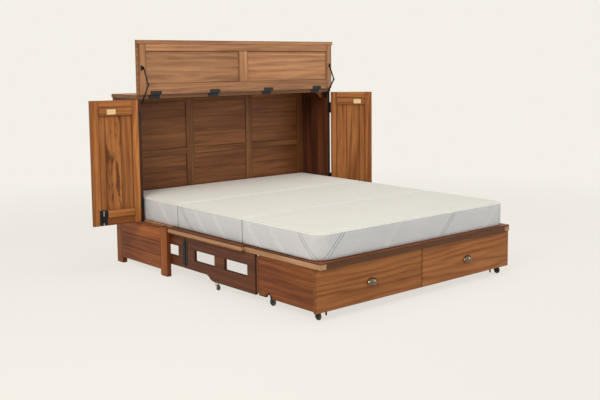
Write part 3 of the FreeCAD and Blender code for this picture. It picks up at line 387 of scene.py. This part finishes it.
def floor_material():
    """What is seen is mostly the background's colour, and all of it towards the rim."""
    shade = Shade("floor")
    lit = shade.bsdf.outputs[0]
    shade.surface({"Base Color": FLOOR_COLOUR, "Roughness": 0.9, "Specular IOR Level": 0.1})
    from_middle = shade.vector_math("SUBTRACT", shade.object_place(), FLOOR_MIDDLE).outputs[0]
    radius = shade.vector_math("LENGTH", from_middle).outputs["Value"]
    share = shade.remap(radius, *FLOOR_FADE, FLOOR_SHADOW, 0.0)
    seen = shade.mix_shaders(share, shade.glow("ShaderNodeEmission", BACKGROUND, 1.0), lit)
    surface = shade.mix_shaders(shade.shows_background(), lit, seen)
    shade.feed(shade.tree.nodes["Material Output"].inputs["Surface"], surface)
    return shade.material


def make_floor():
    mesh = bpy.data.meshes.new("floor")
    bm = bmesh.new()
    bmesh.ops.create_circle(bm, cap_ends=True, segments=96, radius=FLOOR_RADIUS,
                            matrix=Matrix.Translation(FLOOR_MIDDLE))
    bm.to_mesh(mesh)
    bm.free()
    floor = add_object("floor", mesh)
    mesh.materials.append(floor_material())


# ---------------------------------------------------------------- materials
def growth_rings(shade, grain, flow, to_knot):
    """Bands across the board, bent by the slow flow of the grain and swirled round knots."""
    sides = shade.split(grain)
    swirl = shade.math("DIVIDE", 0.3, shade.math("ADD", to_knot, 0.2))
    phase = shade.weighted((sides["Y"], 46.0), (sides["Z"], 24.0), (flow, 9.0), (swirl, 1.0))
    return shade.math("PINGPONG", phase, 1.0)


def edge_grime(shade, dirt):
    """Dirt in the last few millimetres along the edges of a board."""
    inside = shade.vector_math("ABSOLUTE", shade.attribute("local", "Vector")).outputs[0]
    to_edge = shade.vector_math("SUBTRACT", shade.attribute("half", "Vector"), inside).outputs[0]
    sides = shade.split(to_edge)
    nearest = shade.math("MINIMUM", sides["X"], sides["Y"])
    return shade.remap(nearest, 0.0004, 0.006, dirt, 0.0)


def wood(name, dark, middle, light, knots=0.7, rings=0.2, dirt=0.5, heart=0.6, heartwood_and_shade_spread=STAIN_FIGURE):
    """Oiled hardwood that follows each board by the attributes that mark_boards writes.

    Noise takes its fineness as repeats per metre: along the grain, then across it twice."""
    shade = Shade(name)
    grain = shade.attribute("grain", "Vector")
    flow = shade.noise(grain, (0.9, 7.0, 7.0), 2.0)
    bands = shade.noise(grain, (1.6, 42.0, 42.0), 4.0, 0.6, 0.4)
    streak = shade.noise(grain, (6.0, 230.0, 230.0), 4.0, 0.6)
    fleck = shade.noise(grain, (24.0, 800.0, 800.0), 2.0, 0.5)
    patch = shade.noise(grain, (1.5, 3.5, 3.5), 3.0)
    vein = shade.noise(grain, (0.8, 26.0, 26.0), 3.0, 0.5, 0.6)
    figure = shade.noise(grain, (4.5, 17.0, 17.0), 5.0, 0.6, 1.4)
    knot = shade.cells(shade.scaled(grain, (1.9, 5.0, 5.0)))
    ring = growth_rings(shade, grain, flow, knot["Distance"])

    blend = shade.weighted((ring, rings), (streak, 0.42), (bands, 0.75),
                           (shade.math("SUBTRACT", flow, 0.5), 0.5))
    colour = shade.ramp(blend, ((0.30, dark), (0.56, middle), (0.80, light),
                                (0.98, shift(light, 1.2))))
    heartwood = shade.mix(1.0, colour, (0.56, 0.44, 0.36), "MULTIPLY")
    colour = shade.mix(shade.remap(patch, 0.42, 0.72, 0.0, heart), colour, heartwood)

    in_knot = shade.math("MULTIPLY", shade.remap(knot["Distance"], 0.02, 0.15, knots, 0.0),
                         shade.remap(knot["Color"], 0.5, 0.8, 0.0, 1.0))
    # dark heartwood on the left wing's board, painted shade on the foot deck's front board
    in_heartwood_and_shade = shade.math("MULTIPLY", shade.attribute("heartwood_and_shade_mark", "Fac"), shade.remap(figure, *heartwood_and_shade_spread))
    pores = shade.remap(fleck, 0.62, 0.78, 0.0, 0.35)
    in_vein = shade.remap(vein, 0.62, 0.72, 0.0, heart)
    for share, depth in ((in_vein, 0.8), (in_knot, 0.35), (in_heartwood_and_shade, 0.75), (pores, 0.7)):
        colour = shade.mix(share, colour, shift(dark, depth))
    tone = shade.remap(shade.attribute("tone", "Fac"), 0.0, 1.0, 0.80, 1.18)
    colour = shade.vector_math("MULTIPLY", colour, tone).outputs[0]
    colour = shade.mix(edge_grime(shade, dirt), colour, shift(dark, 0.6))

    shade.surface({"Base Color": colour, "Roughness": shade.remap(streak, 0.2, 0.8, 0.6, 0.44),
                   "Specular IOR Level": 0.2, "Coat Weight": 0.04, "Coat Roughness": 0.3})
    shade.bump(shade.weighted((streak, 0.6), (ring, 0.2), (pores, -1.0)), 0.25, 0.0006)
    return shade.material


def metal(name, colour, worn, roughness, metallic):
    """Satin metal with faint brushing and rubbed spots."""
    shade = Shade(name)
    place = shade.object_place()
    brush = shade.noise(place, (40.0, 300.0, 900.0))
    cloud = shade.noise(place, (60.0, 60.0, 60.0))
    shade.surface({
        "Base Color": shade.mix(shade.remap(cloud, 0.55, 0.8, 0.0, 0.5), colour, worn),
        "Roughness": shade.remap(brush, 0.2, 0.8, roughness - 0.08, roughness + 0.12),
        "Metallic": metallic})
    shade.bump(brush, 0.25, 0.0002)
    return shade.material


def rubber(name):
    shade = Shade(name)
    clean, dusty = RUBBER
    dust = shade.noise(shade.object_place(), (90.0, 90.0, 90.0), 4.0)
    shade.surface({"Base Color": shade.ramp(dust, ((0.3, clean), (0.8, dusty))), "Roughness": 0.55})
    shade.bump(dust, 0.2, 0.0005)
    return shade.material


def knit(name, colour, thread, depth, mottle):
    """Stretch-knit ticking: fine ribs crossed by a slow mottle."""
    shade = Shade(name)
    place = shade.object_place()
    ribs = shade.noise(place, (230.0, 230.0, 230.0), 3.0, 0.7)
    cloud = shade.noise(place, (5.0, 5.0, 9.0), 4.0)
    loops = shade.cells(place, 420.0)["Distance"]
    ribbed = shade.ramp(ribs, ((0.3, thread), (0.7, colour)))
    clouded = shade.mix(shade.remap(cloud, 0.35, 0.75, 0.0, mottle), ribbed, shift(thread, 0.95))
    shade.surface({"Base Color": clouded, "Roughness": 0.88, "Sheen Weight": 0.25,
                   "Sheen Roughness": 0.5, "Specular IOR Level": 0.25})
    shade.bump(shade.weighted((ribs, 0.6), (loops, 1.0)), depth, 0.0009)
    return shade.material


def make_looks():
    looks = {}
    for name, (dark, middle, light, differs) in WOODS.items():
        looks[name] = wood(name, dark, middle, light, **differs)
    for name, values in METALS.items():
        looks[name] = metal(name, *values)
    looks["rubber"] = rubber("rubber")
    for name, values in KNITS.items():
        looks[name] = knit(name, *values)
    return looks


# ---------------------------------------------------------------- boards of a CAD node
def islands(mesh):
    """Vertex lists of a mesh's separate solids, by their first vertex.

    Faces that share no vertex belong together where an edge of one lies on an edge of the other.
    Where two solids touch, more than two faces meet at an edge, and it joins nothing."""
    parent = list(range(len(mesh.vertices)))

    def root(i):
        while parent[i] != i:
            parent[i] = parent[parent[i]]
            i = parent[i]
        return i

    first_here = {}
    spot = []
    for vertex in mesh.vertices:
        here = tuple(round(value, 5) for value in vertex.co)
        spot.append(first_here.setdefault(here, vertex.index))
    faces_on = {}
    for face in mesh.polygons:
        first = face.vertices[0]
        for i in face.vertices:
            parent[root(i)] = root(first)
        corners = [spot[i] for i in face.vertices]
        for a, b in zip(corners, corners[1:] + corners[:1]):
            faces_on.setdefault((min(a, b), max(a, b)), []).append(first)
    for faces in faces_on.values():
        if len(faces) == 2:
            parent[root(faces[0])] = root(faces[1])
    found = {}
    for i in range(len(mesh.vertices)):
        found.setdefault(root(i), []).append(i)
    return list(found.values())


def wing_turn(node):
    """Degrees about the upright axis that square a node with the axes: only the wings need any."""
    if not node.startswith("wing_"):
        return 0.0
    return WING_TURN[node.rsplit("_", 1)[1]]


def squared_points(mesh, degrees):
    points = np.array([vertex.co for vertex in mesh.vertices], float)
    c, s = math.cos(math.radians(degrees)), math.sin(math.radians(degrees))
    return points @ np.array([[c, -s, 0], [s, c, 0], [0, 0, 1]]).T


def mark_boards(node, seed):
    """Write on the mesh, board by board, what the wood material reads.

    local is the place from the board's middle with its longest side first, half is half its size,
    grain is local at a spot of its own in the wood, tone is its lightness, and the dark-board mark
    is 1 on a board of dark heartwood and on the foot deck's front board, which is painted shade."""
    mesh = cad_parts[node].data
    points = squared_points(mesh, wing_turn(node))
    dice = random.Random(seed)
    tones = TONES.get(node, ())
    vectors = {name: np.zeros((len(points), 3), np.float32) for name in ("grain", "local", "half")}
    numbers = {name: np.zeros(len(points), np.float32) for name in ("tone", "heartwood_and_shade_mark")}
    for index, members in enumerate(islands(mesh)):
        block = points[members]
        spans = block.max(0) - block.min(0)
        longest_first = np.argsort(-spans)
        local = (block - (block.max(0) + block.min(0)) / 2)[:, longest_first]
        spot = np.array([dice.uniform(0, 40), dice.uniform(0, 40), dice.uniform(0, 40)])
        vectors["grain"][members] = local + spot
        vectors["local"][members] = local
        vectors["half"][members] = spans[longest_first] / 2
        numbers["tone"][members] = tones[index] if index < len(tones) else dice.random()
        numbers["heartwood_and_shade_mark"][members] = 1.0 if index in HEARTWOOD_AND_SHADE_BOARDS.get(node, ()) else 0.0
    for name, values in vectors.items():
        layer = mesh.attributes.new(name, "FLOAT_VECTOR", "POINT")
        layer.data.foreach_set("vector", values.ravel())
    for name, values in numbers.items():
        mesh.attributes.new(name, "FLOAT", "POINT").data.foreach_set("value", values)


def dress(node, material):
    """Give all faces of a CAD node one material."""
    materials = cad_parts[node].data.materials
    if not materials:
        materials.append(material)
    for i in range(len(materials)):
        materials[i] = material


def close_joints(node):
    """Swell the boards a little, so that no daylight shows in the joints between them."""
    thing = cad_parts[node]
    weld = thing.modifiers.new("weld", "WELD")
    weld.merge_threshold = WELD_REACH
    swell = thing.modifiers.new("swell", "DISPLACE")
    swell.direction = "NORMAL"
    swell.mid_level = 0.0
    swell.strength = JOINT_SWELL


def dress_nodes(looks):
    seed = FIRST_SEED
    for look, nodes in WOOD_NODES.items():
        for node in nodes:
            mark_boards(node, seed)
            dress(node, looks[look])
            seed += 1
    for node in JOINTED:
        close_joints(node)
    for look, nodes in OTHER_NODES.items():
        for node in nodes:
            dress(node, looks[look])


# ---------------------------------------------------------------- mattress
def rounded_outline(x0, x1, y0, y1, radii):
    """Points round a level rectangle; radii at (x0,y0), (x1,y0), (x1,y1) and (x0,y1)."""
    corners = ((x0, y0, 1, 1, 180), (x1, y0, -1, 1, 270), (x1, y1, -1, -1, 0), (x0, y1, 1, -1, 90))
    arcs = []
    for (x, y, sx, sy, start), radius in zip(corners, radii):
        cx, cy = x + sx * radius, y + sy * radius
        turns = [math.radians(start + 90 * i / CORNER_STEPS) for i in range(CORNER_STEPS + 1)]
        arcs.append([(cx + radius * math.cos(t), cy + radius * math.sin(t)) for t in turns])
    points = []
    for arc, following in zip(arcs, arcs[1:] + arcs[:1]):
        (ax, ay), (bx, by) = arc[-1], following[0]
        points += arc
        points += [(ax + (bx - ax) * i / SIDE_STEPS, ay + (by - ay) * i / SIDE_STEPS)
                   for i in range(1, SIDE_STEPS)]
    return points


def inset_outline(inset, end, y0, y1, radii):
    """A section's outline drawn in by `inset` at the sides and by `end` at its two ends."""
    shrunk = [max(radius - inset, LEAST_CORNER) for radius in radii]
    return rounded_outline(inset - MATTRESS_HALF, MATTRESS_HALF - inset, y0 + end, y1 - end, shrunk)


def soft_wave(x, y, phase):
    """Slow unevenness of a foam top, at most about 1.5 mm."""
    crossed = math.sin(3.1 * x + phase) * math.cos(4.3 * y - phase)
    return WAVE_HEIGHT * (crossed + 0.8 * math.sin(7.0 * y + 2.0 * x))


def mattress_ring(bm, inset, rise, y0, y1, radii, wave):
    """One level ring of vertices; the ends don't bulge, so that the sections never meet."""
    ring = []
    for x, y in inset_outline(inset, max(inset, 0.0), y0, y1, radii):
        lift = soft_wave(x, y, wave) if rise > WAVY_FROM else 0.0
        ring.append(bm.verts.new((x, y, MATTRESS_LOW + rise + lift)))
    return ring


def mattress_piece(name, y0, y1, radii, wave, looks):
    """One section: lofted rings from the underside, up the drawn-in side and over the top."""
    mesh = bpy.data.meshes.new(name)
    bm = bmesh.new()
    rings = [mattress_ring(bm, inset, rise, y0, y1, radii, wave)
             for inset, rise in SIDE_PROFILE + TOP_PROFILE]
    for low, high in zip(rings, rings[1:]):
        for i in range(len(low)):
            j = (i + 1) % len(low)
            bm.faces.new((low[i], low[j], high[j], high[i]))
    bm.faces.new(list(reversed(rings[0])))
    bm.faces.new(rings[-1])
    bm.normal_update()
    bm.to_mesh(mesh)
    bm.free()
    edge_z = MATTRESS_LOW + SIDE_PROFILE[-1][1]
    for face in mesh.polygons:
        face.use_smooth = True
        face.material_index = 1 if face.center.z > edge_z - 0.001 else 0
    mesh.materials.append(looks["side_knit"])
    mesh.materials.append(looks["top_knit"])
    return add_object(name, mesh)


def tube(name, paths, radius, material):
    """Round cords along (points, closed) paths, as one curve object."""
    curve = bpy.data.curves.new(name, "CURVE")
    curve.dimensions = "3D"
    curve.bevel_depth = radius
    curve.bevel_resolution = 2
    curve.use_fill_caps = True
    for points, closed in paths:
        spline = curve.splines.new("POLY")
        spline.points.add(len(points) - 1)
        for target, point in zip(spline.points, points):
            target.co = tuple(point) + (1,)
        spline.use_cyclic_u = closed
    curve.materials.append(material)
    return add_object(name, curve)


def piping_path(y0, y1, radii):
    """Closed path of the cord round the top edge of a section."""
    inset, rise = SIDE_PROFILE[-2]
    z = MATTRESS_LOW + rise + PIPING_LIFT
    return [(x, y, z) for x, y in inset_outline(inset, inset, y0, y1, radii)], True


def side_inset(rise):
    """How far the mattress side stands in at a height over its underside."""
    return float(np.interp(rise, [z for _, z in SIDE_PROFILE], [inset for inset, _ in SIDE_PROFILE]))


class Outline:
    """A section's outline, for finding places on its sides by the length round it."""

    def __init__(self, y0, y1, radii):
        points = rounded_outline(-MATTRESS_HALF, MATTRESS_HALF, y0, y1, radii)
        points.append(points[0])
        self.lengths = [0.0]
        for a, b in zip(points, points[1:]):
            self.lengths.append(self.lengths[-1] + math.hypot(b[0] - a[0], b[1] - a[1]))
        self.total = self.lengths[-1]
        self.xs = [x for x, _ in points]
        self.ys = [y for _, y in points]

    def plan(self, length):
        return tuple(float(np.interp(length, self.lengths, values)) for values in (self.xs, self.ys))

    def at(self, length, rise):
        """The point on the mattress side at a length round the outline and a height."""
        x, y = self.plan(length)
        ahead_x, ahead_y = self.plan(length + 0.002)
        dx, dy = ahead_x - x, ahead_y - y
        size = math.hypot(dx, dy) or 1.0
        out_x, out_y = dy / size, -dx / size
        inset = side_inset(rise)
        return (x - out_x * inset, y - out_y * max(inset, 0.0), MATTRESS_LOW + rise)

    def nearest(self, x, y, probes=800):
        """The length round the outline whose side point is nearest to a place."""
        lengths = [self.total * i / probes for i in range(probes)]
        return min(lengths, key=lambda length: math.dist(self.at(length, QUILT_AIM)[:2], (x, y)))


def seam_shade_lines(y0):
    """Upright dark lines at both sides, beside the seam at a section's foot end: painted shade in the
    seam, in the dark thread's material.
    """
    if y0 <= SEAM_SHADE_FROM:
        return []
    y = y0 + 1.5 * QUILT_R
    low, high = (MATTRESS_LOW + rise for rise in SEAM_SHADE_SPAN)
    return [([(x, y, low), (x, y, high)], False)
            for x in (SEAM_SHADE_INSET - MATTRESS_HALF, MATTRESS_HALF - SEAM_SHADE_INSET)]


def quilt_pair(outline, start, lean):
    """Two neighbouring slanting lines up the side; `lean` is the run per metre of rise."""
    low, high = QUILT_SPAN
    paths = []
    for beside in (-QUILT_GAP / 2, QUILT_GAP / 2):
        points = []
        for i in range(QUILT_STEPS + 1):
            rise = (high - low) * i / QUILT_STEPS
            points.append(outline.at((start + beside + lean * rise) % outline.total, low + rise))
        paths.append((points, False))
    return paths


def quilt_paths(node, y0, y1, radii):
    """Paths of a section's sewn lines, by thread."""
    outline = Outline(y0, y1, radii)
    # the dark thread's paths also take the painted shade lines in the seams
    paths = {"light": [], "dark": seam_shade_lines(y0)}
    for side, place, thread in QUILT[node]:
        x, y = {"left": (-MATTRESS_HALF, place), "right": (MATTRESS_HALF, place),
                "foot": (place, y0)}[side]
        lean = -QUILT_LEAN if side == "left" else QUILT_LEAN
        paths[thread] += quilt_pair(outline, outline.nearest(x, y), lean)
    return paths


def make_section(node, radii, wave, looks):
    low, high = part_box(node)
    piece = mattress_piece(node + "_pad", low.y, high.y, radii, wave, looks)
    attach(piece, node)
    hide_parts(node)
    piping = tube(node + "_piping", [piping_path(low.y, high.y, radii)], PIPING_R, looks["piping"])
    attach(piping, node)
    # the dark thread object also holds the painted shade lines in the seams
    for thread, paths in quilt_paths(node, low.y, high.y, radii).items():
        lines = tube(node + "_quilt_" + thread, paths, QUILT_R, looks["thread_" + thread])
        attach(lines, node)


def make_mattress(looks):
    for section, radii, wave in SECTIONS:
        make_section("mattress_" + section, radii, wave, looks)


make_camera()
make_lights()
make_world()
make_floor()
looks = make_looks()
dress_nodes(looks)
make_mattress(looks)

bpy.context.scene.view_settings.view_transform = "Standard"
